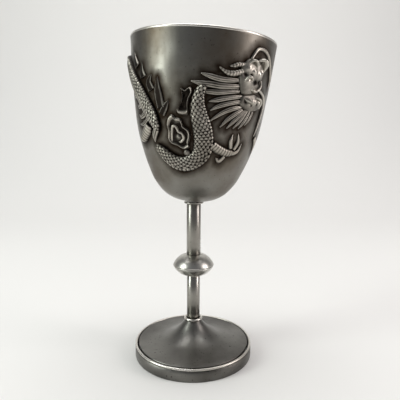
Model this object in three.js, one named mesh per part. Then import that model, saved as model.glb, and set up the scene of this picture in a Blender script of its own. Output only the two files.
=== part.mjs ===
// A small silver cordial cup: a hollow round foot, a stem with a sharp-edged knop, and a tall
// bowl that leans a little, with a dragon and a cloud raised on its side.
// Millimetres, +Z up. The foot stands on z = 0 and the origin is the middle of the cup's box.
import * as THREE from 'three';

// Foot
const FOOT_RADIUS = 18.5;
const FOOT_BAND_HEIGHT = 3.3;
const FOOT_BAND_WALL = 0.8;
const FOOT_WIRE_RADIUS = 0.34;
const FOOT_SHEET = 0.75;
const FOOT_RISE = 6.7;
const FOOT_NECK_RADIUS = 2.3;

// Stem and knop
const STEM_WALL = 0.5;
const COLLAR_WIRE_RADIUS = 0.4;
const LOWER_STEM_RADIUS = 2.05;
const LOWER_STEM_LENGTH = 14.7;
const KNOP_RADIUS = 6.4;
const KNOP_HALF_HEIGHT = 3.4;
const KNOP_SHEET = 0.5;
const UPPER_STEM_RADIUS = 2.2;
const UPPER_STEM_LENGTH = 16.1;
const SEAT_RADIUS = 3.0;
const SEAT_HEIGHT = 0.5;

// Bowl: [height above its own bottom, outer radius] up its side
const BOWL_SHEET = 0.75;
const BOWL_RISE = 46.2;
const BOWL_MOUTH_RADIUS = 20.95;
const BOWL_LEAN_RIGHT = THREE.MathUtils.degToRad(3.3);
const BOWL_LEAN_FRONT = THREE.MathUtils.degToRad(2.2);
const BOWL_SIDE = [
  [0, 2.4], [0.5, 5.0], [1.4, 7.4], [3.1, 9.8], [6.2, 12.3], [9.4, 13.9], [12.5, 15.2], [15.6, 16.3],
  [18.7, 17.3], [21.8, 18.05], [25.0, 18.6], [31.2, 19.45], [37.4, 20.15], [BOWL_RISE, BOWL_MOUTH_RADIUS],
];

// Clearances between soldered pieces
const SOLDER_GAP = 0.02;
const BOWL_SEAT_GAP = 0.3;
const RELIEF_GAP = 0.3;

// Facets
const ROUND_STEPS = 48;
const STEM_STEPS = 24;
const WIRE_STEPS = 6;

const SILVER = { color: 0x9a958b, roughness: 0.32, metalness: 1 };
const DARK_SILVER = { color: 0x6f6a62, roughness: 0.42, metalness: 1 };
const RELIEF_SILVER = { color: 0x8d877c, roughness: 0.36, metalness: 1 };

const cup = new THREE.Group();
const bowlGroup = new THREE.Group();

function addMesh(parent, name, geometry, look) {
  const mesh = new THREE.Mesh(geometry, new THREE.MeshStandardMaterial(look));
  mesh.name = name;
  parent.add(mesh);
  return mesh;
}

// A closed lathe body from an outline of [radius, height], turned about +Z. The outline runs
// so that the solid is on the left of each step, which makes the faces point out.
function turned(outline, steps = ROUND_STEPS) {
  const area = THREE.ShapeUtils.area(outline.map(([r, z]) => new THREE.Vector2(r, z)));
  const ordered = area < 0 ? [...outline].reverse() : outline;
  const points = [...ordered, ordered[0]].map(([r, z]) => new THREE.Vector2(r, z));
  return new THREE.LatheGeometry(points, steps).rotateX(Math.PI / 2);
}

// A turned shell of even thickness: the outer side, and the same side moved in by the sheet.
function sheetOutline(side, sheet) {
  const inner = side.map(([r, z], i) => {
    const [r0, z0] = side[Math.max(i - 1, 0)];
    const [r1, z1] = side[Math.min(i + 1, side.length - 1)];
    const length = Math.hypot(r1 - r0, z1 - z0);
    return [r - sheet * (z1 - z0) / length, z + sheet * (r1 - r0) / length];
  });
  return [...side, ...inner.reverse()];
}

function tubeOutline(radius, wall, z0, z1) {
  return [[radius - wall, z0], [radius, z0], [radius, z1], [radius - wall, z1]];
}

function wireRing(name, ringRadius, wireRadius, z) {
  const ring = new THREE.TorusGeometry(ringRadius, wireRadius, WIRE_STEPS, ROUND_STEPS);
  addMesh(cup, name, ring.translate(0, 0, z), SILVER);
}

// Foot: an upright band, a bright wire on its top edge, and a flared plate inside the wire
const footWireRing = FOOT_RADIUS - FOOT_WIRE_RADIUS;
const footWireHeight = FOOT_BAND_HEIGHT + FOOT_WIRE_RADIUS + SOLDER_GAP;
const footPlateEdge = FOOT_RADIUS - FOOT_BAND_WALL - SOLDER_GAP;
const footPlateTop = FOOT_BAND_HEIGHT + FOOT_SHEET;
const footTop = footPlateTop + FOOT_RISE;
addMesh(cup, 'foot_band', turned(tubeOutline(FOOT_RADIUS, FOOT_BAND_WALL, 0, FOOT_BAND_HEIGHT)), DARK_SILVER);
wireRing('foot_edge_wire', footWireRing, FOOT_WIRE_RADIUS, footWireHeight);

// The plate's top side: its rise as a share of the whole at each share of the way in
const FOOT_FLARE = [[0, 0], [0.13, 0.02], [0.35, 0.08], [0.55, 0.19], [0.72, 0.38], [0.85, 0.61], [0.94, 0.84], [1, 1]];
const footPlateSide = FOOT_FLARE.map(([inward, up]) => [
  THREE.MathUtils.lerp(footPlateEdge - FOOT_WIRE_RADIUS, FOOT_NECK_RADIUS, inward),
  footPlateTop + FOOT_RISE * up,
]);
const footPlateOutline = sheetOutline([...footPlateSide].reverse(), -FOOT_SHEET);
addMesh(cup, 'foot_plate', turned(footPlateOutline), DARK_SILVER);

// Stem: a collar wire on the foot, a lower tube, the two domes of the knop and an upper tube
const lowerStemBottom = footTop + SOLDER_GAP;
const lowerStemTop = lowerStemBottom + LOWER_STEM_LENGTH;
const collarRing = LOWER_STEM_RADIUS + COLLAR_WIRE_RADIUS + SOLDER_GAP * 3;
wireRing('stem_collar_ring', collarRing, COLLAR_WIRE_RADIUS, footTop + COLLAR_WIRE_RADIUS + SOLDER_GAP);
addMesh(cup, 'stem_lower_tube',
  turned(tubeOutline(LOWER_STEM_RADIUS, STEM_WALL, lowerStemBottom, lowerStemTop), STEM_STEPS), SILVER);

// One dome of the knop, from its hole at the stem out to its sharp edge
const KNOP_DOME_STEPS = 6;
const knopMiddle = lowerStemTop + SOLDER_GAP + KNOP_HALF_HEIGHT;
function knopDome(name, stemRadius, up) {
  const hole = stemRadius - STEM_WALL;
  const side = [];
  for (let i = 0; i <= KNOP_DOME_STEPS; i += 1) {
    const turn = (i / KNOP_DOME_STEPS) * Math.PI / 2;
    const radius = hole + (KNOP_RADIUS - hole) * Math.sin(turn);
    side.push([radius, knopMiddle + up * (SOLDER_GAP + (KNOP_HALF_HEIGHT - SOLDER_GAP) * Math.cos(turn) ** 1.15)]);
  }
  const inside = side.slice(0, -1).map(([radius, z], i) => [
    radius,
    Math.abs(z - knopMiddle) > KNOP_SHEET * 1.5 ? z - up * KNOP_SHEET : knopMiddle + up * SOLDER_GAP * (i + 1),
  ]);
  addMesh(cup, name, turned([...side, ...inside.reverse()], ROUND_STEPS), SILVER);
}
knopDome('knop_lower_dome', LOWER_STEM_RADIUS, -1);
knopDome('knop_upper_dome', UPPER_STEM_RADIUS, 1);

const upperStemBottom = knopMiddle + KNOP_HALF_HEIGHT + SOLDER_GAP;
const upperStemTop = upperStemBottom + UPPER_STEM_LENGTH;
addMesh(cup, 'stem_upper_tube',
  turned(tubeOutline(UPPER_STEM_RADIUS, STEM_WALL, upperStemBottom, upperStemTop), STEM_STEPS), SILVER);
const seatBottom = upperStemTop + SOLDER_GAP;
const seat = new THREE.CylinderGeometry(SEAT_RADIUS, SEAT_RADIUS, SEAT_HEIGHT, STEM_STEPS).rotateX(Math.PI / 2);
addMesh(cup, 'bowl_seat_disc', seat.translate(0, 0, seatBottom + SEAT_HEIGHT / 2), SILVER);

// Bowl: one raised sheet with a round bottom and a plain rim
const bowlBottom = seatBottom + SEAT_HEIGHT + BOWL_SEAT_GAP;
const bowlSide = BOWL_SIDE.map(([rise, radius]) => [radius, rise]);
const bowlWall = sheetOutline([[0, 0], ...bowlSide], BOWL_SHEET);
bowlWall[bowlWall.length - 1][0] = 0;
const bowlPoints = bowlWall.map(([r, z]) => new THREE.Vector2(r, z));
addMesh(bowlGroup, 'bowl', new THREE.LatheGeometry(bowlPoints, ROUND_STEPS).rotateX(Math.PI / 2), SILVER);
bowlGroup.position.z = bowlBottom;
const bowlAxis = new THREE.Vector3(Math.sin(BOWL_LEAN_RIGHT), -Math.sin(BOWL_LEAN_FRONT), 1).normalize();
bowlGroup.quaternion.setFromUnitVectors(new THREE.Vector3(0, 0, 1), bowlAxis);

function bowlRadius(rise) {
  const upper = BOWL_SIDE.findIndex(([height]) => height >= rise);
  const [h0, r0] = BOWL_SIDE[Math.max(upper - 1, 0)];
  const [h1, r1] = BOWL_SIDE[Math.max(upper, 1)];
  return THREE.MathUtils.lerp(r0, r1, (rise - h0) / (h1 - h0));
}

// A point of the relief: degrees round the bowl from its front, rise up the bowl, and height
// off its side. The gap keeps the relief clear of the bowl's wall.
function onBowl(degrees, rise, height) {
  const angle = THREE.MathUtils.degToRad(degrees);
  const radius = bowlRadius(rise) + RELIEF_GAP + height;
  return [radius * Math.sin(angle), -radius * Math.cos(angle), rise];
}

function closedGeometry(points, triangles) {
  const geometry = new THREE.BufferGeometry();
  geometry.setAttribute('position', new THREE.Float32BufferAttribute(points.flat(), 3));
  geometry.setIndex(triangles.flat());
  return geometry;
}

// A raised strand that follows the bowl: route of [degrees, rise, half width], highest in the
// middle of its section, thinned to a point at the ends that taper.
const SECTION_STEPS = 4;
function strand(name, route, height, steps, look = RELIEF_SILVER) {
  const path = new THREE.CatmullRomCurve3(
    route.map(([degrees, rise, half]) => new THREE.Vector3(degrees, rise, half)), false, 'centripetal');
  const points = [];
  for (let i = 0; i <= steps; i += 1) {
    const here = path.getPoint(i / steps);
    const along = path.getTangent(i / steps);
    const perDegree = bowlRadius(here.y) * Math.PI / 180;
    const run = Math.hypot(along.x * perDegree, along.y);
    const across = [along.y / run / perDegree, -along.x * perDegree / run];
    for (let j = 0; j <= SECTION_STEPS; j += 1) {
      const side = Math.cos(Math.PI * j / SECTION_STEPS);
      const lift = height * Math.min(1, here.z) * Math.sin(Math.PI * j / SECTION_STEPS) + 0.15;
      points.push(onBowl(here.x + across[0] * side * here.z, here.y + across[1] * side * here.z, lift));
    }
    for (let j = 1; j < SECTION_STEPS; j += 2) {
      const side = -Math.cos(Math.PI * j / SECTION_STEPS);
      points.push(onBowl(here.x + across[0] * side * here.z, here.y + across[1] * side * here.z, 0));
    }
  }
  const ring = points.length / (steps + 1);
  const triangles = [];
  for (let i = 0; i < steps; i += 1) {
    for (let j = 0; j < ring; j += 1) {
      const a = i * ring + j;
      const b = i * ring + (j + 1) % ring;
      triangles.push([a, a + ring, b], [b, a + ring, b + ring]);
    }
  }
  for (let j = 1; j < ring - 1; j += 1) {
    const last = steps * ring;
    triangles.push([0, j, j + 1], [last, last + j + 1, last + j]);
  }
  addMesh(bowlGroup, name, closedGeometry(points, triangles), look);
}

// A raised patch that follows the bowl: an outline of [degrees, rise] round a middle point,
// domed towards the middle.
const PATCH_RINGS = 3;
function patch(name, middle, outline, edgeHeight, middleHeight, look = RELIEF_SILVER) {
  const count = outline.length;
  const points = [];
  for (const under of [false, true]) {
    points.push(onBowl(middle[0], middle[1], under ? 0 : middleHeight));
    for (let k = 1; k <= PATCH_RINGS; k += 1) {
      const share = k / PATCH_RINGS;
      const lift = edgeHeight + (middleHeight - edgeHeight) * (1 - share * share);
      for (const [degrees, rise] of outline) {
        const at = [THREE.MathUtils.lerp(middle[0], degrees, share), THREE.MathUtils.lerp(middle[1], rise, share)];
        points.push(onBowl(at[0], at[1], under ? 0 : lift));
      }
    }
  }
  const under = points.length / 2;
  const triangles = [];
  const turn = THREE.ShapeUtils.area(outline.map(([x, y]) => new THREE.Vector2(x, y))) > 0;
  const face = (a, b, c) => triangles.push(turn ? [a, b, c] : [a, c, b]);
  for (let j = 0; j < count; j += 1) {
    const next = (j + 1) % count;
    face(0, 1 + j, 1 + next);
    face(under, under + 1 + next, under + 1 + j);
    for (let k = 0; k < PATCH_RINGS - 1; k += 1) {
      const a = 1 + k * count;
      const b = a + count;
      face(a + j, b + j, b + next);
      face(a + j, b + next, a + next);
      face(under + a + j, under + b + next, under + b + j);
      face(under + a + j, under + a + next, under + b + next);
    }
    const edge = 1 + (PATCH_RINGS - 1) * count;
    face(edge + j, under + edge + j, under + edge + next);
    face(edge + j, under + edge + next, edge + next);
  }
  addMesh(bowlGroup, name, closedGeometry(points, triangles), look);
}

// Dragon: its body in two coils, and the tail that the hind coil leads to behind the cup
const BODY_HEIGHT = 2.0;
strand('dragon_fore_body', [
  [-38, 16.6, 0.9], [-32.5, 15.2, 1.3], [-27, 13.7, 1.6], [-19, 12.6, 1.8], [-10, 12.5, 1.9], [-2, 13.6, 2.0],
  [3.6, 15.5, 2.2], [4.6, 18, 2.3], [3.7, 20.5, 2.3], [1.6, 23, 2.2], [-0.8, 25.4, 2.0], [-2.2, 27.6, 1.6], [-2, 28.8, 0.9],
], BODY_HEIGHT, 30);
strand('dragon_hind_body', [
  [-102, 38.6, 2.2], [-92, 39.2, 2.3], [-80, 37.8, 2.3], [-69, 34.7, 2.3], [-57, 30.8, 2.2], [-48, 27.2, 2.1],
  [-41.5, 24.2, 1.9], [-38, 22, 1.3],
], BODY_HEIGHT, 22);
strand('dragon_tail', [
  [-104, 38.4, 2.1], [-116, 35.8, 1.9], [-127, 31, 1.7], [-137, 26, 1.4], [-149, 23, 1.0], [-160, 25, 0.7], [-164, 29, 0.3],
], BODY_HEIGHT * 0.8, 20);
strand('hind_coil_curl', [[-38, 20.6, 0.9], [-41, 19.2, 0.8], [-42, 17.9, 0.3]], 1.1, 5);

// Dragon: its head, jaw, horns and the locks of its mane and beard
patch('dragon_head', [38, 35], [
  [28.5, 38], [33, 39.6], [38, 39.9], [42, 39.3], [46, 39.4], [49, 37.2], [47.4, 35], [46.5, 33.2], [43, 32.2],
  [38, 31.6], [32, 31.4], [29, 33], [27.5, 35.5],
], 0.8, 3.0);
patch('dragon_jaw', [42, 29.4], [
  [32, 31], [38, 31], [43, 31.4], [47.5, 30.9], [50.5, 29.9], [52.5, 28.6], [49, 27.7], [42, 27.5], [36, 27.9], [32, 28.9],
], 0.5, 2.2);
const LOCK_HEIGHT = 1.1;
const MANE_LOCKS = [
  [[-1, 35.4, 0.25], [5.2, 34.8, 0.6], [13, 34.3, 0.6], [26, 34.4, 0.5]],
  [[-8, 33.4, 0.25], [-1.4, 33, 0.6], [6, 32.9, 0.7], [14, 32.7, 0.7], [26, 33, 0.5]],
  [[-2.4, 31.1, 0.25], [6.1, 31.1, 0.6], [14, 31.2, 0.6], [27, 31.9, 0.35]],
  [[6.5, 29, 0.25], [12, 29.3, 0.6], [19, 29.9, 0.6], [30, 30.5, 0.4]],
];
const BEARD_LOCKS = [
  [[8.4, 26.9, 0.2], [13, 27.7, 0.5], [21, 28.6, 0.5], [30, 29.2, 0.4]],
  [[9.8, 24.4, 0.2], [16, 26, 0.5], [24, 27.3, 0.6], [31, 27.7, 0.4]],
  [[17.8, 22.9, 0.2], [22, 24.6, 0.5], [28, 26.1, 0.6], [33.5, 26.9, 0.35]],
  [[23.4, 22.7, 0.2], [27.5, 24.2, 0.5], [32.5, 25.4, 0.5], [36.5, 26.6, 0.35]],
  [[29.4, 22.8, 0.2], [33, 24.1, 0.45], [36.8, 25.6, 0.4], [39.2, 26.8, 0.3]],
  [[34.8, 22.9, 0.2], [38.2, 24.3, 0.45], [40.6, 25.6, 0.4], [42.4, 26.8, 0.3]],
  [[41, 23.9, 0.2], [44, 25.2, 0.4], [46.4, 26.8, 0.3]],
];
const HORNS = [
  [[12, 37, 0.2], [16.5, 36, 0.5], [21.5, 35.9, 0.6], [26, 36.2, 0.6]],
  [[19.5, 37.6, 0.2], [22.5, 37.8, 0.5], [26, 38.1, 0.5], [27.4, 37.9, 0.3]],
];
const WHISKERS = [
  [[37.5, 40.8, 0.3], [39.5, 42, 0.4], [43.5, 42.8, 0.45], [49.5, 42.7, 0.45], [56, 41.5, 0.4], [61.5, 39.3, 0.4],
    [66, 36.6, 0.35], [67, 34.4, 0.2]],
  [[51.5, 32.8, 0.3], [58, 31.6, 0.4], [62, 29.8, 0.4], [61.8, 27.5, 0.4], [60.5, 24.8, 0.35], [58.8, 21.2, 0.2]],
];
MANE_LOCKS.forEach((route, i) => strand(`mane_lock_${i + 1}`, route, LOCK_HEIGHT, 10));
BEARD_LOCKS.forEach((route, i) => strand(`beard_lock_${i + 1}`, route, LOCK_HEIGHT, 7));
HORNS.forEach((route, i) => strand(`horn_${i + 1}`, route, LOCK_HEIGHT * 1.3, 6));
WHISKERS.forEach((route, i) => strand(`whisker_${i + 1}`, route, 2.0, 14));

// Dragon: its legs, claws, and the fins along its back
const LEG_HEIGHT = 1.7;
strand('fore_leg', [[14, 17.8, 1.0], [18, 16.9, 1.3], [25, 16.2, 1.2], [32.5, 15.9, 1.0]], LEG_HEIGHT, 8);
strand('hind_leg', [[-48, 21.2, 1.2], [-52, 19.6, 1.3], [-58, 18.3, 1.0], [-66, 17.6, 0.4]], LEG_HEIGHT, 8);
const CLAWS = [
  [[30.4, 17.8, 0.5], [29.2, 19.2, 0.5], [30, 20.6, 0.15]],
  [[35.2, 17.6, 0.5], [37, 19, 0.5], [36, 20.8, 0.15]],
  [[36, 15.9, 0.5], [40, 16.7, 0.5], [42.4, 18.3, 0.15]],
  [[25, 14.4, 0.5], [21.5, 13.7, 0.5], [18.5, 14.4, 0.15]],
  [[61.5, 20, 0.5], [66, 18.8, 0.6], [70, 16.6, 0.15]],
];
const BACK_FINS = [
  [[-64.5, 29.7, 0.6], [-67, 29.4, 0.5], [-71, 29.8, 0.15]],
  [[-57.5, 27, 0.6], [-61, 26.7, 0.5], [-65, 27.2, 0.15]],
  [[-52.5, 24.7, 0.7], [-58, 24.2, 0.5], [-63, 24.6, 0.15]],
  [[-48, 23.6, 0.5], [-55, 22.3, 0.5], [-63, 22.1, 0.15]],
];
CLAWS.forEach((route, i) => strand(`claw_${i + 1}`, route, LOCK_HEIGHT, 5));
BACK_FINS.forEach((route, i) => strand(`back_fin_${i + 1}`, route, LOCK_HEIGHT, 5));
patch('dorsal_fin', [-11.8, 29.4], [
  [-14.2, 31.4], [-11.4, 31.2], [-8, 31.8], [-7.4, 30.6], [-9.6, 29.2], [-10.4, 27.4], [-10.8, 25.6], [-16.6, 25.6],
  [-15, 27.4], [-13, 28.8], [-13, 30.2],
], 0.9, 1.3);

// Flames that rise between the hind coil and the neck
const FLAMES = [
  [[-60, 38.6, 1.0], [-62, 39.2, 0.7], [-64, 40.6, 0.2]],
  [[-50, 34.9, 1.1], [-51.5, 36, 0.7], [-52, 37.6, 0.2]],
  [[-41.4, 31.8, 1.0], [-43.4, 33, 0.8], [-41.2, 34.4, 0.2]],
  [[-32.4, 27.6, 1.0], [-34.2, 30.4, 1.0], [-35.2, 33.8, 0.2]],
  [[-30.6, 25.4, 0.8], [-28, 27, 0.7], [-25.8, 28.2, 0.2]],
];
FLAMES.forEach((route, i) => strand(`flame_${i + 1}`, route, LOCK_HEIGHT, 6));

// Cloud in front of the coil, and the small boss under it
const CLOUD_HEIGHT = 1.2;
patch('ruyi_cloud', [-16.6, 20], [
  [-25.6, 24.2], [-22.6, 25], [-19, 24.3], [-14.6, 24], [-12.9, 22.4], [-8.4, 21.4], [-7, 19.8], [-8, 17.9], [-7.6, 17],
  [-10.4, 16.5], [-14.4, 16.6], [-17.9, 17.2], [-23.2, 17.7], [-25.7, 18.9], [-25.4, 20.9], [-26.4, 22.6],
], CLOUD_HEIGHT * 0.75, CLOUD_HEIGHT);
const BOSS_RADIUS = 0.7;
const BOSS_POINTS = 10;
const BOSS_PLACE = [-9.4, 15.5];
const bossDegree = THREE.MathUtils.radToDeg(BOSS_RADIUS / bowlRadius(BOSS_PLACE[1]));
patch('cloud_boss', BOSS_PLACE, Array.from({ length: BOSS_POINTS }, (_, i) => {
  const turn = (i / BOSS_POINTS) * 2 * Math.PI;
  return [BOSS_PLACE[0] + bossDegree * Math.cos(turn), BOSS_PLACE[1] + BOSS_RADIUS * Math.sin(turn)];
}), 0.7, 1.1);

// The origin goes to the middle of the whole cup's box, on the plane that the foot stands on.
cup.add(bowlGroup);
cup.updateMatrixWorld(true);
const middle = new THREE.Box3().setFromObject(cup, true).getCenter(new THREE.Vector3());
cup.position.set(-middle.x, -middle.y, 0);

export default cup;
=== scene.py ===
import math

import bpy
import numpy as np
from mathutils import Matrix, Vector


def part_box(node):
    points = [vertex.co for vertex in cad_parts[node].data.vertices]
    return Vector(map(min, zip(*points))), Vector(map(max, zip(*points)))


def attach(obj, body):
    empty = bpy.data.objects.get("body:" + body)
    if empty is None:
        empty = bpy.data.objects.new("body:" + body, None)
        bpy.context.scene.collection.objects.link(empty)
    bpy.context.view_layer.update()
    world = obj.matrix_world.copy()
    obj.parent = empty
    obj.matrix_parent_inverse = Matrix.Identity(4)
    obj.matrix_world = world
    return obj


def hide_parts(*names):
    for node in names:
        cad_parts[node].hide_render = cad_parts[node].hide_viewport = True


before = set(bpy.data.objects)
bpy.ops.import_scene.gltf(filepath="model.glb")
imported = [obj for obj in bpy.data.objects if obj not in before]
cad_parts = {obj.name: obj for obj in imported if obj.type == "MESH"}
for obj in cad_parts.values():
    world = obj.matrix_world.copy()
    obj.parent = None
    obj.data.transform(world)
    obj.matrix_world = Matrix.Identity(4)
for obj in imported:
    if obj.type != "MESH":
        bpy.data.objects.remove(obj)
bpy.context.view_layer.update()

# Camera: it stands a hand's length from the cup, a little below its mouth, and looks slightly down.
# Its place is in millimetres from the stem's axis on the floor.
MM = 0.001
CAMERA_LENS = 36.12
CAMERA_NEAR = 5.0
stem_low, stem_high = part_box("stem_lower_tube")
stem_x = (stem_low[0] + stem_high[0]) / 2
stem_y = (stem_low[1] + stem_high[1]) / 2
CAMERA_BACK = 123.0
CAMERA_HEIGHT = 66.6
CAMERA_PITCH = math.radians(7.98)
CAMERA_YAW = math.radians(0.89)
CAMERA_ROLL = math.radians(0.40)
level_share = math.cos(CAMERA_PITCH)
ahead = Vector((math.sin(CAMERA_YAW) * level_share, math.cos(CAMERA_YAW) * level_share,
                -math.sin(CAMERA_PITCH)))
level = Vector((math.cos(CAMERA_YAW), -math.sin(CAMERA_YAW), 0))
upward = level.cross(ahead)
tilted_level = math.cos(CAMERA_ROLL) * level + math.sin(CAMERA_ROLL) * upward
tilted_up = -math.sin(CAMERA_ROLL) * level + math.cos(CAMERA_ROLL) * upward
camera = bpy.data.objects.new("camera", bpy.data.cameras.new("camera"))
camera.data.lens = CAMERA_LENS
camera.data.clip_start = CAMERA_NEAR * MM
camera_place = (stem_x, stem_y - CAMERA_BACK * MM, CAMERA_HEIGHT * MM)
camera_rows = [(tilted_level[i], tilted_up[i], -ahead[i], camera_place[i]) for i in range(3)]
camera.matrix_world = Matrix(camera_rows + [(0, 0, 0, 1)])
bpy.context.scene.collection.objects.link(camera)
bpy.context.scene.camera = camera
bpy.context.scene.view_settings.view_transform = "Standard"


# Shader maths is written as expressions: a Wire wraps one socket, and any other node is made by
# the tree's own method.
class Wire:
    def __init__(self, tree, socket):
        self.tree = tree
        self.socket = socket

    def _maths(self, operation, first, second=0.0):
        return self.tree.node("ShaderNodeMath", {"operation": operation}, {0: first, 1: second})

    def __add__(self, other):
        return self._maths("ADD", self, other)

    def __rsub__(self, other):
        return self._maths("SUBTRACT", other, self)

    def __mul__(self, other):
        return self._maths("MULTIPLY", self, other)

    __radd__ = __add__
    __rmul__ = __mul__


class Tree:
    def __init__(self, name):
        self.material = bpy.data.materials.new(name)
        self.material.use_nodes = True
        self.nodes = self.material.node_tree.nodes
        self.links = self.material.node_tree.links
        self.shader = self.nodes["Principled BSDF"]

    def plug(self, value, socket):
        if isinstance(value, Wire):
            self.links.new(value.socket, socket)
        else:
            socket.default_value = value

    def node(self, kind, settings, inputs, output=0):
        made = self.nodes.new(kind)
        for key, value in settings.items():
            setattr(made, key, value)
        for key, value in inputs.items():
            self.plug(value, made.inputs[key])
        return Wire(self, made.outputs[output])

    def place(self):
        return self.node("ShaderNodeTexCoord", {}, {}, "Object")

    def noise(self, scale, detail=4.0, stretch=(1, 1, 1)):
        at = self.node("ShaderNodeMapping", {}, {"Vector": self.place(), "Scale": stretch})
        return self.node("ShaderNodeTexNoise", {}, {"Vector": at, "Scale": scale, "Detail": detail}, "Fac")

    def mask(self, fac, low, high):
        """0 where the value is under low, 1 over high, and even between them."""
        inputs = {"Value": fac, "From Min": low, "From Max": high}
        return self.node("ShaderNodeMapRange", {"clamp": True}, inputs)

    def mix(self, fac, first, second):
        return self.node("ShaderNodeMix", {"data_type": "RGBA"}, {0: fac, 6: first, 7: second}, 2)

    def metal(self, colour, roughness, height, depth):
        self.plug(colour, self.shader.inputs["Base Color"])
        self.plug(roughness, self.shader.inputs["Roughness"])
        self.shader.inputs["Metallic"].default_value = 1.0
        bump = self.node("ShaderNodeBump", {}, {"Height": height, "Distance": depth, "Strength": 0.6})
        self.plug(bump, self.shader.inputs["Normal"])
        return self.material


# Silver: cloudy tarnish over a bright metal, fine handling scratches that run round and up the
# cup, and small dark specks. The "worn" attribute is 1 on rubbed ridges and 0 in dark hollows.
SCRATCH_DEPTH = 0.05


def silver(name, bright, cloudy, dark, roughness, specks, worn=False):
    tree = Tree(name)
    clouds = tree.mask(tree.noise(55.0, 6.0), 0.35, 0.68)
    colour = tree.mix(clouds, (*bright, 1), (*cloudy, 1))
    streaks = tree.noise(900.0, 3.0, (1, 1, 0.08))
    hairs = tree.noise(700.0, 3.0, (0.1, 0.1, 2.4))
    fine = streaks * 0.5 + hairs * 0.5
    spots = tree.mask(tree.noise(1500.0, 2.0), 0.66, 0.74)
    colour = tree.mix(spots * specks, colour, (*dark, 1))
    rough = clouds * 0.12 + fine * 0.16 + roughness
    if worn:
        rubbed = tree.node("ShaderNodeAttribute", {"attribute_name": "worn"}, {}, "Fac")
        patchy = tree.mask(rubbed + tree.noise(420.0, 4.0) * 0.5, 0.45, 1.2)
        colour = tree.mix(patchy, (*dark, 1), colour)
        rough = rough + (1 - patchy) * 0.22
    return tree.metal(colour, rough, fine, SCRATCH_DEPTH * MM)


# Foot: an upright band under a bright wire, and a hollow plate that flares up to the stem. The
# pieces are soldered together. The band and plate are tarnished grey with a fine dark speckle.
FOOT_RADIUS = 18.5
FOOT_BAND_HEIGHT = 3.3
FOOT_BAND_WALL = 0.8
FOOT_WIRE_RADIUS = 0.34
FOOT_NECK_RADIUS = 2.3
FOOT_TOP = 10.75
FOOT_SHEET = 0.7
SOLDER_GAP = 0.02
FOOT_STEPS = 160
FOOT_SIDE = [(17.35, 4.02), (15.4, 4.1), (12, 4.55), (9, 5.35), (6.5, 6.65), (4.6, 8.2), (3.2, 9.75),
             (FOOT_NECK_RADIUS, FOOT_TOP)]
foot_silver = silver("tarnished_foot_silver", bright=(0.21, 0.205, 0.19), cloudy=(0.085, 0.08, 0.072),
                     dark=(0.02, 0.017, 0.014), roughness=0.24, specks=0.9)
bright_silver = silver("rubbed_wire_silver", bright=(0.78, 0.76, 0.71), cloudy=(0.50, 0.47, 0.42),
                       dark=(0.08, 0.07, 0.06), roughness=0.16, specks=0.3)


def smooth_line(points, steps):
    """A smooth curve through the points, with the given number of steps between each two."""
    line = []
    for i in range(len(points) - 1):
        p0 = np.array(points[max(i - 1, 0)], float)
        p1 = np.array(points[i], float)
        p2 = np.array(points[i + 1], float)
        p3 = np.array(points[min(i + 2, len(points) - 1)], float)
        for t in np.arange(steps) / steps:
            line.append(0.5 * (2 * p1 + (p2 - p0) * t + (2 * p0 - 5 * p1 + 4 * p2 - p3) * t * t
                               + (3 * p1 - p0 - 3 * p2 + p3) * t ** 3))
    return np.array(line + [np.array(points[-1], float)])


def make_piece(name, points, faces, material, worn=None):
    """A smooth mesh object from its points and faces, with how rubbed each point is."""
    mesh = bpy.data.meshes.new(name)
    mesh.from_pydata([tuple(p) for p in points], [], faces)
    mesh.update()
    if worn is not None:
        layer = mesh.attributes.new("worn", "FLOAT", "POINT")
        layer.data.foreach_set("value", np.array(worn, np.float32))
    mesh.materials.append(material)
    mesh.polygons.foreach_set("use_smooth", [True] * len(mesh.polygons))
    piece = bpy.data.objects.new(name, mesh)
    bpy.context.scene.collection.objects.link(piece)
    return piece


def dress(piece, slot, *nodes):
    """The piece rides the cup's only body and stands for its CAD nodes."""
    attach(piece, "root")
    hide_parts(*nodes)


def turned(name, outline, material, steps):
    """A closed ring or shell: an outline of radius and height, anticlockwise, round the stem."""
    points = []
    faces = []
    count = len(outline)
    for i in range(steps):
        turn = 2 * math.pi * i / steps
        east = math.cos(turn) * MM
        north = math.sin(turn) * MM
        for radius, height in outline:
            points.append((stem_x + radius * east, stem_y + radius * north, height * MM))
    for i in range(steps):
        for j in range(count):
            k = (j + 1) % count
            here = i * count
            there = (i + 1) % steps * count
            faces.append((here + j, there + j, there + k, here + k))
    return make_piece(name, points, faces, material)


def softened(corners, radius=0.12):
    """Rounds each corner of an outline a little, as a worn edge is."""
    out = []
    count = len(corners)
    for i in range(count):
        here = np.array(corners[i], float)
        for other in (corners[i - 1], corners[(i + 1) % count]):
            way = np.array(other, float) - here
            length = np.linalg.norm(way)
            out.append(here + way / length * min(radius, length * 0.3))
    return out


def ring_outline(radius, wall, bottom, top):
    """The section of a plain ring or tube."""
    return softened([(radius - wall, bottom), (radius, bottom), (radius, top), (radius - wall, top)])


def wire_outline(ring, wire, height, points=14):
    """The round section of a wire that is bent to a ring."""
    turns = [2 * math.pi * i / points for i in range(points)]
    return [(ring + wire * math.cos(t), height + wire * math.sin(t)) for t in turns]


def sheet_outline(side, sheet):
    """A sheet's section: its outer side from bottom to top, and the same side moved inwards."""
    side = np.array(side)
    way = np.gradient(side, axis=0)
    way /= np.linalg.norm(way, axis=1)[:, None]
    inner = side + np.stack([-way[:, 1], way[:, 0]], 1) * sheet
    return list(side) + list(inner[::-1])


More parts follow.
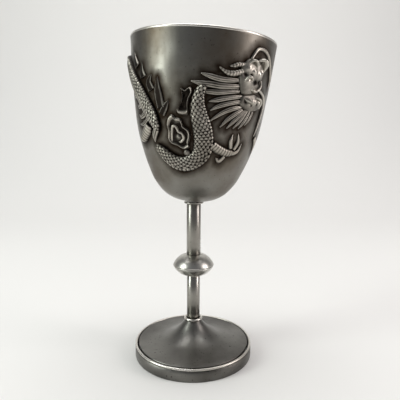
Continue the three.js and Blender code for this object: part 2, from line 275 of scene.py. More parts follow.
band_outline = ring_outline(FOOT_RADIUS, FOOT_BAND_WALL, 0, FOOT_BAND_HEIGHT)
foot_band = turned("foot_band_strip", band_outline, foot_silver, FOOT_STEPS)
dress(foot_band, "silver_foot", "foot_band")
wire_height = FOOT_BAND_HEIGHT + FOOT_WIRE_RADIUS + SOLDER_GAP
edge_outline = wire_outline(FOOT_RADIUS - FOOT_WIRE_RADIUS, FOOT_WIRE_RADIUS, wire_height)
foot_wire = turned("foot_bright_wire", edge_outline, bright_silver, FOOT_STEPS)
dress(foot_wire, "silver_cup", "foot_edge_wire")
plate_outline = sheet_outline(smooth_line(FOOT_SIDE, 6), FOOT_SHEET)
foot_plate = turned("foot_flared_plate", plate_outline, foot_silver, FOOT_STEPS)
dress(foot_plate, "silver_foot", "foot_plate")

# Stem: a collar wire where it leaves the foot, two plain tubes, and between them a hollow knop of
# two domes that meet at a sharp, rubbed edge. The seat disc under the bowl is soldered on top.
LOWER_STEM_RADIUS = 2.05
UPPER_STEM_RADIUS = 2.2
STEM_WALL = 0.5
COLLAR_WIRE_RADIUS = 0.4
KNOP_RADIUS = 6.4
KNOP_SHEET = 0.45
KNOP_ARC = math.radians(66)
KNOP_STEPS = 128
STEM_STEPS = 96
SEAT_RADIUS = 3.0
SEAT_BEVEL = 0.1
SEAT_PINHOLE = 0.05
knop_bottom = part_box("knop_lower_dome")[0][2] / MM
knop_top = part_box("knop_upper_dome")[1][2] / MM
knop_middle = (knop_bottom + knop_top) / 2
knop_half = (knop_top - knop_bottom) / 2
stem_silver = silver("stem_silver", bright=(0.38, 0.37, 0.34), cloudy=(0.17, 0.155, 0.135),
                     dark=(0.03, 0.024, 0.02), roughness=0.17, specks=0.6)
knop_silver = silver("knop_silver", bright=(0.62, 0.61, 0.57), cloudy=(0.30, 0.28, 0.25),
                     dark=(0.04, 0.033, 0.028), roughness=0.20, specks=0.7)
collar_ring = LOWER_STEM_RADIUS + COLLAR_WIRE_RADIUS + SOLDER_GAP * 3
collar_height = FOOT_TOP + COLLAR_WIRE_RADIUS + SOLDER_GAP
collar_outline = wire_outline(collar_ring, COLLAR_WIRE_RADIUS, collar_height)
collar = turned("collar_wire", collar_outline, bright_silver, STEM_STEPS)
dress(collar, "silver_cup", "stem_collar_ring")
for node, radius in (("stem_lower_tube", LOWER_STEM_RADIUS), ("stem_upper_tube", UPPER_STEM_RADIUS)):
    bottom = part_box(node)[0][2] / MM
    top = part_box(node)[1][2] / MM
    tube = turned(node + "_plain", ring_outline(radius, STEM_WALL, bottom, top), stem_silver, STEM_STEPS)
    dress(tube, "silver_cup", node)


def knop_outline(stem_radius, up):
    """One dome of the knop, an arc from its hole at the stem out to the sharp edge."""
    hole = stem_radius - STEM_WALL
    side = []
    for turn in np.linspace(0, KNOP_ARC, 20):
        out = math.sin(turn) / math.sin(KNOP_ARC)
        rise = (math.cos(turn) - math.cos(KNOP_ARC)) / (1 - math.cos(KNOP_ARC))
        height = SOLDER_GAP + (knop_half - SOLDER_GAP) * rise
        side.append((hole + (KNOP_RADIUS - hole) * out, knop_middle + up * height))
    inside = []
    for radius, height in side[:-2]:
        depth = max(abs(height - knop_middle) - KNOP_SHEET, SOLDER_GAP)
        inside.append((radius, depth * up + knop_middle))
    outline = side + inside[::-1]
    return outline[::-1] if up > 0 else outline


for node, stem_radius, up in (("knop_lower_dome", LOWER_STEM_RADIUS, -1),
                              ("knop_upper_dome", UPPER_STEM_RADIUS, 1)):
    dome = turned(node + "_shell", knop_outline(stem_radius, up), knop_silver, KNOP_STEPS)
    dress(dome, "silver_cup", node)
seat_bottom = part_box("bowl_seat_disc")[0][2] / MM
seat_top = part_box("bowl_seat_disc")[1][2] / MM
seat_face = SEAT_RADIUS - SEAT_BEVEL
seat_outline = [
    (SEAT_PINHOLE, seat_bottom), (seat_face, seat_bottom), (SEAT_RADIUS, seat_bottom + SEAT_BEVEL),
    (SEAT_RADIUS, seat_top - SEAT_BEVEL), (seat_face, seat_top), (SEAT_PINHOLE, seat_top)]
seat_disc = turned("seat_disc_soldered", seat_outline, stem_silver, STEM_STEPS)
dress(seat_disc, "silver_cup", "bowl_seat_disc")

# Bowl: one raised sheet with a round bottom and a side that opens slowly to the mouth. It leans
# to the right and forward, has small dents, and is tarnished dark round the relief. Its side is
# given as radius and rise, and each dent as degrees round, rise, size across and depth.
BOWL_LEAN_RIGHT = math.radians(3.3)
BOWL_LEAN_FRONT = math.radians(2.2)
BOWL_SHEET = 0.75
BOWL_GAP = 0.3
BOWL_SIDE = [
    (0, 0.05), (2.4, 0.02), (5.0, 0.5), (7.4, 1.4), (9.8, 3.1), (12.3, 6.2), (13.9, 9.4), (15.2, 12.5),
    (16.3, 15.6), (17.3, 18.7), (18.05, 21.8), (18.6, 25.0), (19.45, 31.2), (20.15, 37.4), (20.95, 46.2)]
BOWL_DENTS = [(-28, 41, 2.6, 0.16), (-37, 38.6, 2.2, 0.12), (14, 42.5, 3.5, 0.08), (70, 30, 4, 0.12),
              (-150, 20, 5, 0.15), (120, 36, 4, 0.1), (-20, 36.5, 3, 0.06), (40, 10, 4, 0.1)]
BOWL_TURNS = 256
BOWL_PINHOLE = 0.04
bowl_silver = silver("bowl_silver", bright=(0.235, 0.23, 0.21), cloudy=(0.085, 0.066, 0.046),
                     dark=(0.022, 0.015, 0.010), roughness=0.23, specks=0.5, worn=True)
bowl_foot = np.array((stem_x, stem_y, (seat_top + BOWL_GAP) * MM))
bowl_axis = Vector((math.sin(BOWL_LEAN_RIGHT), -math.sin(BOWL_LEAN_FRONT), 1)).normalized()
bowl_turn = np.array(Vector((0, 0, 1)).rotation_difference(bowl_axis).to_matrix())
side_curve = smooth_line(BOWL_SIDE, 8)


def bowl_radius(rise):
    """The radius of the bowl's outer side at a rise above its bottom."""
    return np.interp(rise, side_curve[:, 1], side_curve[:, 0])


def on_bowl(degrees, rise, height):
    """Points of the relief or the wall: degrees round from the front, rise, and height off the side."""
    turn = np.radians(degrees)
    radius = bowl_radius(rise) + height
    level_rise = np.broadcast_to(rise, np.shape(radius))
    local = np.stack([radius * np.sin(turn), -radius * np.cos(turn), level_rise], -1)
    return local @ bowl_turn.T * MM + bowl_foot


def ring_faces(turns, rows):
    """The faces of a body whose section of rows points goes round in a number of turns."""
    faces = []
    for i in range(turns):
        here = i * rows
        there = (i + 1) % turns * rows
        for j in range(rows):
            k = (j + 1) % rows
            faces.append((here + j, there + j, there + k, here + k))
    return faces


outer_line = [point for point in side_curve if point[0] > BOWL_PINHOLE]
bowl_outline = sheet_outline(outer_line, BOWL_SHEET)
bowl_points = []
for i in range(BOWL_TURNS):
    degrees = 360 * i / BOWL_TURNS - 180
    turn = math.radians(degrees)
    for radius, rise in bowl_outline:
        dent = 0.0
        for at, up, size, depth in BOWL_DENTS:
            across = math.radians(degrees - at) * radius
            dent += depth * math.exp(-(across ** 2 + (rise - up) ** 2) / size ** 2)
        reach = max(radius - dent, BOWL_PINHOLE / 2)
        local = np.array([reach * math.sin(turn), -reach * math.cos(turn), rise])
        bowl_points.append(bowl_turn @ local * MM + bowl_foot)
bowl_faces = ring_faces(BOWL_TURNS, len(bowl_outline))
bowl = make_piece("bowl_raised_sheet", bowl_points, bowl_faces, bowl_silver, np.ones(len(bowl_points)))
dress(bowl, "silver_cup", "bowl")

# Rim: a thin plain wire, rubbed bright, that runs round the mouth and finishes the bowl's edge.
# It is a detail of the looks and stands for no CAD node.
RIM_WIRE = 0.42
RIM_RISE = 46.1
RIM_INSET = 0.37
RIM_SECTION = 12
rim_points = []
for i in range(BOWL_TURNS):
    degrees = 360 * i / BOWL_TURNS
    for turn in np.linspace(0, 2 * math.pi, RIM_SECTION, endpoint=False):
        upward_step = bowl_turn @ np.array([0, 0, RIM_WIRE * math.sin(turn)]) * MM
        rim_points.append(on_bowl(degrees, RIM_RISE, RIM_WIRE * math.cos(turn) - RIM_INSET) + upward_step)
rim = make_piece("bowl_rim_wire", rim_points, ring_faces(BOWL_TURNS, RIM_SECTION), bright_silver)
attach(rim, "root")

# Dragon's body: two coils raised from the side, with overlapping scales and a line of beads along one
# edge; the hind coil and the tail also have ribbed belly plates along the other. Ridges are rubbed bright,
# hollows are black.
relief_silver = silver("relief_silver", bright=(0.56, 0.53, 0.475), cloudy=(0.30, 0.27, 0.225),
                       dark=(0.014, 0.011, 0.009), roughness=0.20, specks=0.3, worn=True)
SCALE_PITCH = 1.0
SCALE_ROW = 0.72
BELLY_PITCH = 0.9
BEAD_PITCH = 0.8
BEAD_RADIUS = 0.38
BEAD_INSET = 0.42
BODY_HEIGHT = 1.25
HIND_HEIGHT = 1.0
BASE_DEPTH = 0.05
BASE_LIFT = 0.02
BELLY_FROM = 0.1
BEADS_FROM = 0.66


def scales(along, across):
    """Rows of overlapping scales, each lowest at its root and half a scale aside of the last."""
    row = np.floor(along / SCALE_ROW)
    a = along / SCALE_ROW - row
    b = across / SCALE_PITCH + 0.5 * (row % 2)
    b = b - np.floor(b) - 0.5
    tip = 1 - 3.4 * b * b
    inside = a < tip
    own = np.clip(0.45 + 0.55 * a, 0, 1) * (1 - 1.4 * b * b)
    return np.where(inside, own, 0.06)


def belly(along):
    """Round ribs across the belly."""
    return np.abs(np.sin(math.pi * along / BELLY_PITCH)) ** 0.6


def beads(along, across, middle):
    """One line of round beads along the body."""
    a = along / BEAD_PITCH
    a = (a - np.round(a)) * BEAD_PITCH
    return np.sqrt(np.clip(1 - (a * a + (across - middle) ** 2) / BEAD_RADIUS ** 2, 0, 1))


# Degrees, rise and half width along every piece of relief, for the patina on the wall.
relief_ground = []


def strand(name, route, height, pattern, along_step, across_steps):
    """A raised strand on the bowl, with its route of degrees, rise and half width. Its pattern
    adds chased detail, from the millimetres along and across it, and says what is rubbed."""
    path = smooth_line(route, 16)
    flat = np.stack([path[:, 0] * np.pi / 180 * bowl_radius(path[:, 1]), path[:, 1]], 1)
    lengths = np.concatenate([[0], np.cumsum(np.linalg.norm(np.diff(flat, axis=0), axis=1))])
    count = max(8, int(lengths[-1] / along_step))
    at = np.linspace(0, lengths[-1], count)
    path = np.stack([np.interp(at, lengths, path[:, k]) for k in range(3)], 1)
    way = np.gradient(path, axis=0)
    per_degree = np.pi / 180 * bowl_radius(path[:, 1])
    relief_ground.append(path[::3])
    run = np.hypot(way[:, 0] * per_degree, way[:, 1])
    cross_degrees = way[:, 1] / run / per_degree
    cross_rise = -way[:, 0] * per_degree / run
    turn = np.linspace(0, np.pi, across_steps)
    side = np.cos(turn)
    half = path[:, 2][:, None]
    across = half * side[None, :]
    along = np.broadcast_to(at[:, None], across.shape)
    dome = np.sin(turn)[None, :] ** 0.8
    relief, mark = pattern(along, across, half, dome)
    lift = (height * dome + relief) * np.minimum(1, half)
    degrees = path[:, 0][:, None] + cross_degrees[:, None] * across
    rise = path[:, 1][:, None] + cross_rise[:, None] * across
    top = on_bowl(degrees, rise, lift + BASE_LIFT)
    under_side = -side[1:-1]
    under_degrees = path[:, 0][:, None] + cross_degrees[:, None] * half * under_side
    under_rise = path[:, 1][:, None] + cross_rise[:, None] * half * under_side
    under = on_bowl(under_degrees, under_rise, np.full(under_degrees.shape, -BASE_DEPTH))
    points = np.concatenate([top, under], 1)
    worn = np.concatenate([mark, np.zeros(under.shape[:2])], 1)
    ring = points.shape[1]
    faces = []
    for i in range(count - 1):
        for j in range(ring):
            k = (j + 1) % ring
            faces.append((i * ring + j, (i + 1) * ring + j, (i + 1) * ring + k, i * ring + k))
    faces.append(tuple(range(ring)))
    faces.append(tuple(range((count - 1) * ring, count * ring))[::-1])
    return make_piece(name, points.reshape(-1, 3), faces, relief_silver, worn.reshape(-1))


def body_pattern(bead_side, belly_side):
    """The skin of a coil: 1 puts the beads or the belly on its left as it runs, -1 on its right."""
    def pattern(along, across, half, dome):
        share = across / half
        skin = scales(along, across)
        relief = 0.30 * skin * dome
        mark = 0.05 + 0.95 * skin
        on_belly = share * belly_side > BELLY_FROM
        plates = belly(along)
        relief = np.where(on_belly, 0.16 * plates, relief)
        mark = np.where(on_belly, 0.2 + 0.7 * plates, mark)
        groove = np.exp(-((share * belly_side - BELLY_FROM) / 0.05) ** 2) * abs(belly_side)
        relief = relief - 0.22 * groove
        mark = mark * (1 - 0.9 * groove)
        line = beads(along, across, bead_side * (half - BEAD_INSET))
        relief = relief + 0.34 * line
        mark = np.where(share * bead_side > BEADS_FROM, line, mark)
        return relief, mark * np.clip(dome * 1.6, 0, 1)
    return pattern


FORE_ROUTE = [
    (-39, 17, 0.5), (-36, 16.0, 1.2), (-32.5, 15.1, 1.5), (-27, 13.7, 1.8), (-19, 12.6, 2.0),
    (-10, 12.5, 2.1), (-2, 13.6, 2.2), (3.6, 15.5, 2.4), (4.6, 18, 2.5), (3.7, 20.5, 2.5),
    (1.6, 23, 2.4), (-0.8, 25.4, 2.2), (-2.2, 27.8, 1.9), (-1.5, 30.4, 1.5), (1.5, 32.4, 1.0)]
HIND_ROUTE = [
    (-104, 38.5, 2.2), (-92, 39.2, 2.4), (-80, 37.8, 2.4), (-69, 34.7, 2.4), (-57, 30.8, 2.4),
    (-48, 27.2, 2.3), (-41.5, 24.2, 2.0), (-37.6, 21.9, 1.4), (-37, 20.6, 0.8)]
TAIL_ROUTE = [
    (-103.6, 38.6, 2.2), (-116, 35.8, 2.0), (-127, 31, 1.8), (-137, 26, 1.5), (-149, 23, 1.1),
    (-160, 25, 0.8), (-164, 29, 0.2)]
fore_body = strand("fore_coil_scaled", FORE_ROUTE, BODY_HEIGHT, body_pattern(1, 0), 0.12, 48)
dress(fore_body, "silver_relief", "dragon_fore_body")
hind_body = strand("hind_coil_scaled", HIND_ROUTE, HIND_HEIGHT, body_pattern(-1, 1), 0.12, 44)
dress(hind_body, "silver_relief", "dragon_hind_body")
tail = strand("tail_scaled", TAIL_ROUTE, HIND_HEIGHT, body_pattern(-1, 1), 0.14, 36)
dress(tail, "silver_relief", "dragon_tail")


# Locks of the mane and beard, horns, claws, fins, flames and whiskers: tapered strands, each
# chased on its own, with combed grooves, a hollow, a plain round back or ribs. Each kind has its
# height, its pattern, and a route of degrees, rise and half width for each strand.
def combed(along, across, half, dome):
    share = across / half
    lines = 0.5 + 0.5 * np.cos(share * math.pi * 3)
    return 0.14 * (lines - 0.5) * dome, (0.2 + 0.8 * lines) * np.clip(dome * 1.5, 0, 1)


def hollowed(along, across, half, dome):
    edge = np.abs(across / half) ** 3
    return 0.45 * (edge - 1) * dome, 0.05 + 0.95 * edge * np.clip(dome * 3, 0, 1)


def plain(along, across, half, dome):
    return 0 * dome * along, 0.15 + 0.85 * dome + 0 * along


RIB_PITCH = 0.75


def ribbed(along, across, half, dome):
    lines = np.abs(np.sin(math.pi * along / RIB_PITCH)) ** 0.7
    return 0.14 * lines * dome, (0.2 + 0.8 * lines) * np.clip(dome * 1.5, 0, 1)


LOCKS = {
    "mane_lock": (0.95, combed, [
        [(-1, 35.4, 0.15), (5.2, 34.8, 0.7), (13, 34.3, 0.8), (21, 34.3, 0.7), (29, 34.6, 0.5)],
        [(-8, 33.4, 0.15), (-1.4, 33, 0.7), (6, 32.9, 0.85), (14, 32.7, 0.85), (28, 33, 0.6)],
        [(-2.4, 31.1, 0.15), (6.1, 31.1, 0.7), (14, 31.2, 0.75), (29, 31.9, 0.5)],
        [(5.8, 28.8, 0.15), (12, 29.3, 0.7), (19, 29.9, 0.7), (32, 30.7, 0.5)]]),
    "beard_lock": (0.85, combed, [
        [(7.4, 26.6, 0.15), (13, 27.7, 0.6), (21, 28.6, 0.65), (32, 29.4, 0.5)],
        [(7.6, 23.9, 0.15), (16, 26, 0.6), (24, 27.3, 0.7), (33, 28, 0.5)],
        [(16.8, 22.6, 0.15), (22, 24.6, 0.6), (28, 26.1, 0.7), (35, 27.4, 0.5)],
        [(22.8, 22.4, 0.15), (27.5, 24.2, 0.6), (32.5, 25.6, 0.6), (38, 27.3, 0.45)],
        [(28.8, 22.5, 0.15), (33, 24.1, 0.55), (36.8, 25.6, 0.55), (40.4, 27.3, 0.4)],
        [(34.2, 22.5, 0.15), (38.2, 24.3, 0.55), (40.8, 25.6, 0.55), (43.4, 27.3, 0.4)],
        [(40.4, 23.5, 0.15), (44, 25.2, 0.5), (47, 27.2, 0.4)]]),
    "horn": (1.2, ribbed, [
        [(11.4, 37.2, 0.15), (16.5, 36.1, 0.55), (21.5, 35.9, 0.75), (29, 36.6, 0.8)],
        [(19, 37.6, 0.15), (22.5, 37.8, 0.55), (26, 38.2, 0.6), (31, 38.2, 0.6)]]),
    "claw": (0.95, plain, [
        [(30.8, 17.2, 0.55), (29.2, 19.2, 0.55), (30.2, 21, 0.1)],
        [(34.6, 16.9, 0.55), (37, 19, 0.55), (36, 21.2, 0.1)],
        [(34, 15.8, 0.55), (39.5, 16.5, 0.55), (43, 18.6, 0.1)],
        [(26, 15, 0.55), (21.5, 13.7, 0.55), (18, 14.6, 0.1)],
        [(61, 20.3, 0.6), (66, 18.8, 0.6), (70.6, 16.2, 0.1)]]),
    "back_fin": (0.8, combed, [
        [(-62, 30, 0.9), (-66, 29.5, 0.6), (-71, 29.9, 0.1)],
        [(-55.5, 27.2, 0.9), (-60, 26.7, 0.6), (-65, 27.3, 0.1)],
        [(-51, 24.8, 0.9), (-57, 24.1, 0.6), (-63.4, 24.7, 0.1)],
        [(-47, 23.8, 0.6), (-55, 22.2, 0.6), (-63.4, 22.1, 0.1)]]),
    "flame": (1.0, hollowed, [
        [(-58, 37.2, 1.1), (-61.5, 39, 0.8), (-64, 41, 0.1)],
        [(-50, 34.3, 1.3), (-51.5, 36, 0.8), (-52, 38, 0.1)],
        [(-41, 31, 1.2), (-43.4, 33, 0.9), (-41.2, 34.9, 0.1)],
        [(-32, 26.6, 1.1), (-34.4, 30.4, 1.1), (-35.2, 34.3, 0.1)],
        [(-31.5, 25, 0.9), (-28.4, 26.8, 0.8), (-25.4, 28.6, 0.1)]]),
    "whisker": (1.5, plain, [
        [(36, 40, 0.4), (39.5, 42, 0.45), (43.5, 42.8, 0.45), (49.5, 42.7, 0.45), (56, 41.5, 0.42),
         (61.5, 39.3, 0.4), (66, 36.6, 0.38), (67, 34.2, 0.15)],
        [(49, 33, 0.4), (58, 31.6, 0.42), (62, 29.8, 0.42), (61.8, 27.5, 0.4), (60.5, 24.8, 0.36),
         (58.6, 20.8, 0.15)]]),
}
for kind, (height, pattern, routes) in LOCKS.items():
    for number, route in enumerate(routes, 1):
        lock = strand(f"{kind}_chased_{number}", route, height, pattern, 0.14, 20)
        dress(lock, "silver_relief", f"{kind}_{number}")

# Legs and the hind coil's curl: the ribbed legs reach out of the coils, and the curl closes the
# hind coil below.
CURL_ROUTE = [(-37.4, 21.2, 1.0), (-40.6, 19.3, 0.9), (-42.3, 17.6, 0.1)]
FORE_LEG_ROUTE = [(12, 18, 1.1), (18, 16.9, 1.2), (25, 16.2, 1.05), (31, 16, 0.9), (34.6, 16.1, 0.5)]
HIND_LEG_ROUTE = [(-46, 22, 1.0), (-49, 20.8, 1.5), (-53, 19.6, 1.4), (-58, 18.3, 1.1), (-67, 17.5, 0.2)]
curl = strand("coil_curl_chased", CURL_ROUTE, 0.85, combed, 0.14, 20)
dress(curl, "silver_relief", "hind_coil_curl")
fore_leg = strand("fore_leg_ribbed", FORE_LEG_ROUTE, 1.15, ribbed, 0.14, 28)
dress(fore_leg, "silver_relief", "fore_leg")
hind_leg = strand("hind_leg_ribbed", HIND_LEG_ROUTE, 1.1, ribbed, 0.14, 28)
dress(hind_leg, "silver_relief", "hind_leg")

# Head and jaw: two domed patches with raised and sunk features, and six ridges over them for the
# brow, snout, lips and curls. Outlines give degrees and rise, and features add size and height.
PATCH_GROUND = 0.2


def patch(name, middle, outline, edge, dome, features, rings=40, points_per_step=6, rim=0.0):
    """A raised patch on the bowl, from its outline round a middle point. A rim above 0 raises a
    line inside the edge and sinks what it encloses."""
    line = smooth_line(outline + [outline[0]], points_per_step)[:-1]
    middle = np.array(middle, float)
    relief_ground.append(np.concatenate([line, np.full((len(line), 1), PATCH_GROUND)], 1))
    share = np.linspace(0, 1, rings)[:, None]
    degrees = middle[0] + (line[:, 0] - middle[0])[None, :] * share
    rise = middle[1] + (line[:, 1] - middle[1])[None, :] * share
    lift = np.broadcast_to(edge + (dome - edge) * np.sqrt(np.clip(1 - share ** 2, 0, 1)), degrees.shape)
    mark = np.full(degrees.shape, 0.5)
    lift = lift + rim * np.exp(-((share - 0.88) / 0.07) ** 2) - rim * 0.4 * (share < 0.8)
    mark = mark + (0.5 * np.exp(-((share - 0.88) / 0.09) ** 2) - 0.35 * (share < 0.78)) * (rim > 0)
    for at, up, size, height in features:
        across = (degrees - at) * np.pi / 180 * bowl_radius(rise)
        bump = np.exp(-(across ** 2 + (rise - up) ** 2) / size ** 2)
        lift = lift + height * bump
        mark = mark + np.sign(height) * 0.6 * bump
    lift = np.where(share > 0.97, lift * 0.4, lift)
    top = on_bowl(degrees, rise, lift + BASE_LIFT)
    under = on_bowl(degrees, rise, np.full(degrees.shape, -BASE_DEPTH))
    count = line.shape[0]
    points = np.concatenate([top[0:1, 0], top[1:].reshape(-1, 3), under[0:1, 0], under[1:].reshape(-1, 3)])
    worn = np.concatenate([mark[0:1, 0], mark[1:].reshape(-1), np.zeros(1 + (rings - 1) * count)])
    area = 0.5 * np.sum(line[:, 0] * np.roll(line[:, 1], -1) - np.roll(line[:, 0], -1) * line[:, 1])
    faces = []
    under_start = 1 + (rings - 1) * count

    def add(*corners):
        faces.append(corners if area > 0 else corners[::-1])

    for j in range(count):
        k = (j + 1) % count
        add(0, 1 + j, 1 + k)
        add(under_start, under_start + 1 + k, under_start + 1 + j)
        for ring in range(rings - 2):
            a = 1 + ring * count
            b = a + count
            add(a + j, b + j, b + k, a + k)
            add(under_start + a + j, under_start + a + k, under_start + b + k, under_start + b + j)
        edge_row = 1 + (rings - 2) * count
        add(edge_row + j, under_start + edge_row + j, under_start + edge_row + k, edge_row + k)
    return make_piece(name, points, faces, relief_silver, np.clip(worn, 0, 1))


HEAD_OUTLINE = [
    (28.5, 38), (33, 39.8), (38, 40.2), (42, 39.6), (46, 39.8), (49.6, 37.4), (48, 35), (46.6, 33),
    (43, 31.9), (38, 31.3), (32, 31.2), (28.6, 33), (27, 35.5)]
HEAD_FEATURES = [
    (37.6, 36.8, 0.75, 0.5), (32.5, 37.6, 0.9, 0.4), (43, 36.4, 0.8, 0.5), (46.4, 37.2, 0.6, 0.4),
    (33, 34.4, 0.9, 0.4), (44.6, 34.6, 0.5, -0.5), (40.2, 34.4, 0.6, -0.5), (35.2, 36, 0.35, -0.5),
    (30.5, 36, 0.5, -0.4)]
JAW_OUTLINE = [
    (31.5, 30.9), (38, 31.4), (43, 31.6), (47.5, 31), (51, 30), (53, 28.6), (49, 27.5), (42, 27.2),
    (36, 27.6), (31, 28.8)]
JAW_FEATURES = [
    (49, 29.6, 0.7, 0.5), (46, 29.2, 0.4, -0.5), (43, 29.6, 0.8, 0.6), (38, 29.4, 0.9, 0.6),
    (40.5, 28.8, 0.4, -0.5), (35, 29.6, 0.6, -0.4)]
FACE_RIDGES = {
    "brow": [(32, 38.4, 0.2), (35.6, 39.5, 0.5), (39, 38.8, 0.5), (40.6, 37.2, 0.2)],
    "snout": [(41.2, 39.6, 0.3), (44.4, 40, 0.6), (47.6, 38.9, 0.6), (48.4, 37, 0.2)],
    "upper_lip": [(35.6, 33.6, 0.2), (39, 32.3, 0.45), (43, 32.4, 0.45), (46.6, 33.8, 0.4),
                  (48.6, 35.2, 0.2)],
    "cheek_curl": [(29.4, 33.6, 0.2), (32.6, 35.4, 0.55), (36, 35, 0.5), (36.4, 33.8, 0.2)],
    "lower_lip": [(43.4, 30.8, 0.2), (47.6, 30.5, 0.45), (51.4, 29.5, 0.4), (52.6, 28.1, 0.2)],
    "jaw_curl": [(34, 30.2, 0.2), (37.6, 29.4, 0.6), (41, 29.2, 0.5), (42.6, 28.2, 0.2)],
}
FACE_RIDGE_HEIGHT = 4.2
head = patch("head_chased", (38, 35.6), HEAD_OUTLINE, 0.6, 1.5, HEAD_FEATURES)
dress(head, "silver_relief", "dragon_head")
jaw = patch("jaw_chased", (42, 29.4), JAW_OUTLINE, 0.5, 1.3, JAW_FEATURES)
dress(jaw, "silver_relief", "dragon_jaw")
for part, route in FACE_RIDGES.items():
    ridge = strand(f"face_{part}", route, FACE_RIDGE_HEIGHT, plain, 0.12, 18)
    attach(ridge, "root")

# Fin: a thin plate with a raised edge that stands behind the neck.
FIN_OUTLINE = [
    (-14.4, 31.6), (-11.4, 31.1), (-8, 32), (-6.6, 30.8), (-8.6, 29.2), (-9.4, 27.4), (-9.6, 25.2),
    (-17, 25.4), (-15, 27.2), (-13.4, 28.6), (-13.6, 30.2)]
FIN_FEATURES = [(-12, 30, 0.5, -0.4), (-13, 27.4, 0.6, -0.4)]
fin = patch("fin_chased", (-11.8, 29.4), FIN_OUTLINE, 1.0, 1.4, FIN_FEATURES, rim=0.35)
dress(fin, "silver_relief", "dorsal_fin")

# Cloud: a lobed plate in front of the coil, with a raised rubbed outline, a scroll inside it
# round one bead, and a small domed boss below.
CLOUD_OUTLINE = [
    (-25.6, 24.2), (-22.6, 25.1), (-19, 24.3), (-14.6, 24.1), (-12.7, 22.4), (-8.2, 21.4), (-6.8, 19.8),
    (-8, 17.9), (-7.2, 17), (-10.4, 16.3), (-14.4, 16.5), (-17.9, 17.1), (-23.2, 17.6), (-25.9, 18.9),
    (-25.4, 20.9), (-26.6, 22.6)]
CLOUD_BEAD = [(-16.4, 19.4, 0.5, 0.5)]
SCROLL_ROUTE = [
    (-22.9, 17.9, 0.3), (-22.4, 20.2, 0.4), (-21.4, 22, 0.45), (-18.6, 22, 0.45), (-16.4, 20.8, 0.45),
    (-13.6, 20.4, 0.45), (-12.2, 19.2, 0.45), (-14.6, 18.2, 0.4), (-16.6, 18.3, 0.2)]
SCROLL_HEIGHT = 1.9
BOSS_PLACE = (-9.4, 15.5)
BOSS_DEGREES = 2.9
BOSS_RADIUS = 0.8
BOSS_POINTS = 12
cloud = patch("ruyi_cloud_chased", (-16.6, 20), CLOUD_OUTLINE, 0.55, 0.6, CLOUD_BEAD, rim=0.45)
dress(cloud, "silver_relief", "ruyi_cloud")
scroll = strand("cloud_scroll", SCROLL_ROUTE, SCROLL_HEIGHT, plain, 0.14, 16)
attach(scroll, "root")
boss_outline = []
for turn in np.linspace(0, 2 * math.pi, BOSS_POINTS, endpoint=False):
    boss_outline.append((BOSS_PLACE[0] + BOSS_DEGREES * math.cos(turn),
                         BOSS_PLACE[1] + BOSS_RADIUS * math.sin(turn)))
boss = patch("cloud_boss_domed", BOSS_PLACE, boss_outline, 0.5, 1.0, [], rings=16, points_per_step=3)
dress(boss, "silver_relief", "cloud_boss")

# Patina: the bowl's wall stays black close to the relief, where a polishing cloth doesn't reach,
# and grows brighter away from it. The inside is evenly dull.
PATINA_REACH = 2.4
PATINA_LEAST = 0.15
PATINA_INSIDE = 0.8
WALL_RADIUS = 18.0
FAR_AWAY = 99.0
bowl_local = (np.array(bowl_points) - bowl_foot) @ bowl_turn / MM
wall_degrees = np.degrees(np.arctan2(bowl_local[:, 0], -bowl_local[:, 1]))
wall_rise = bowl_local[:, 2]
nearest = np.full(len(bowl_points), FAR_AWAY)
for degrees, rise, half in np.concatenate(relief_ground):
    across = np.radians(wall_degrees - degrees) * WALL_RADIUS
    nearest = np.minimum(nearest, np.hypot(across, wall_rise - rise) - half)
rubbed_share = np.clip(nearest / PATINA_REACH, 0, 1)
inner = np.tile(np.arange(len(bowl_outline)) >= len(outer_line), BOWL_TURNS)
patina = np.where(inner, PATINA_INSIDE, PATINA_LEAST + (1 - PATINA_LEAST) * rubbed_share)
bowl.data.attributes["worn"].data.foreach_set("value", patina.astype(np.float32))

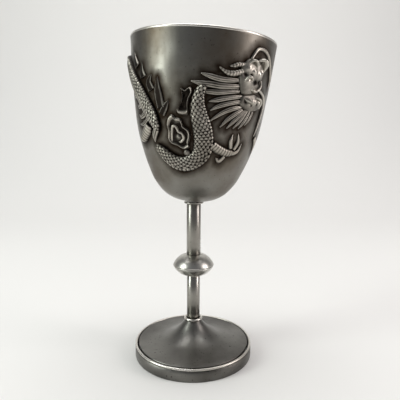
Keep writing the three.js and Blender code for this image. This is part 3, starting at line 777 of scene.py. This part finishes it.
# The stage: a plain pale floor that curves up behind the cup, and soft studio lamps. Two tall
# lamps at the sides give the upright highlights that run down the bowl.
FLOOR_HALF = 0.9
FLOOR_FRONT = -0.35
WALL_AT = 0.45
WALL_TOP = 1.1
CURVE_RADIUS = 0.25
CURVE_STEPS = 16
curve_start = WALL_AT - CURVE_RADIUS
profile = [(FLOOR_FRONT, 0.0), (curve_start, 0.0)]
for turn in np.linspace(0, math.pi / 2, CURVE_STEPS)[1:]:
    profile.append((curve_start + CURVE_RADIUS * math.sin(turn), CURVE_RADIUS * (1 - math.cos(turn))))
profile.append((WALL_AT, WALL_TOP))
floor_points = [(x, y, z) for y, z in profile for x in (-FLOOR_HALF, FLOOR_HALF)]
floor_faces = [(2 * i, 2 * i + 1, 2 * i + 3, 2 * i + 2) for i in range(len(profile) - 1)]
paper = Tree("pale_paper")
paper.shader.inputs["Base Color"].default_value = (0.78, 0.77, 0.75, 1)
paper.shader.inputs["Roughness"].default_value = 0.7
make_piece("floor", floor_points, floor_faces, paper.material)
world = bpy.data.worlds.new("studio")
world.use_nodes = True
world.node_tree.nodes["Background"].inputs["Color"].default_value = (0.17, 0.17, 0.18, 1)
bpy.context.scene.world = world


def lamp(name, place, target, size, power, colour):
    light = bpy.data.lights.new(name, "AREA")
    light.shape = "RECTANGLE"
    light.size, light.size_y = size
    light.energy = power
    light.color = colour
    lamp_object = bpy.data.objects.new(name, light)
    lamp_object.location = place
    lamp_object.rotation_euler = (Vector(target) - Vector(place)).to_track_quat("-Z", "Y").to_euler()
    bpy.context.scene.collection.objects.link(lamp_object)


lamp("left_lamp", (-0.42, -0.16, 0.22), (0, 0, 0.06), (0.16, 0.40), 1.5, (0.93, 1.0, 0.95))
lamp("right_lamp", (0.42, -0.10, 0.20), (0, 0, 0.06), (0.16, 0.36), 1.0, (1.0, 0.93, 0.92))
lamp("top_lamp", (0.0, 0.05, 0.62), (0, 0, 0), (0.5, 0.4), 1.9, (1, 1, 1))
lamp("back_wall_lamp", (0.0, 0.0, 0.7), (0, 0.45, 0.2), (0.8, 0.2), 1.0, (1, 1, 1))
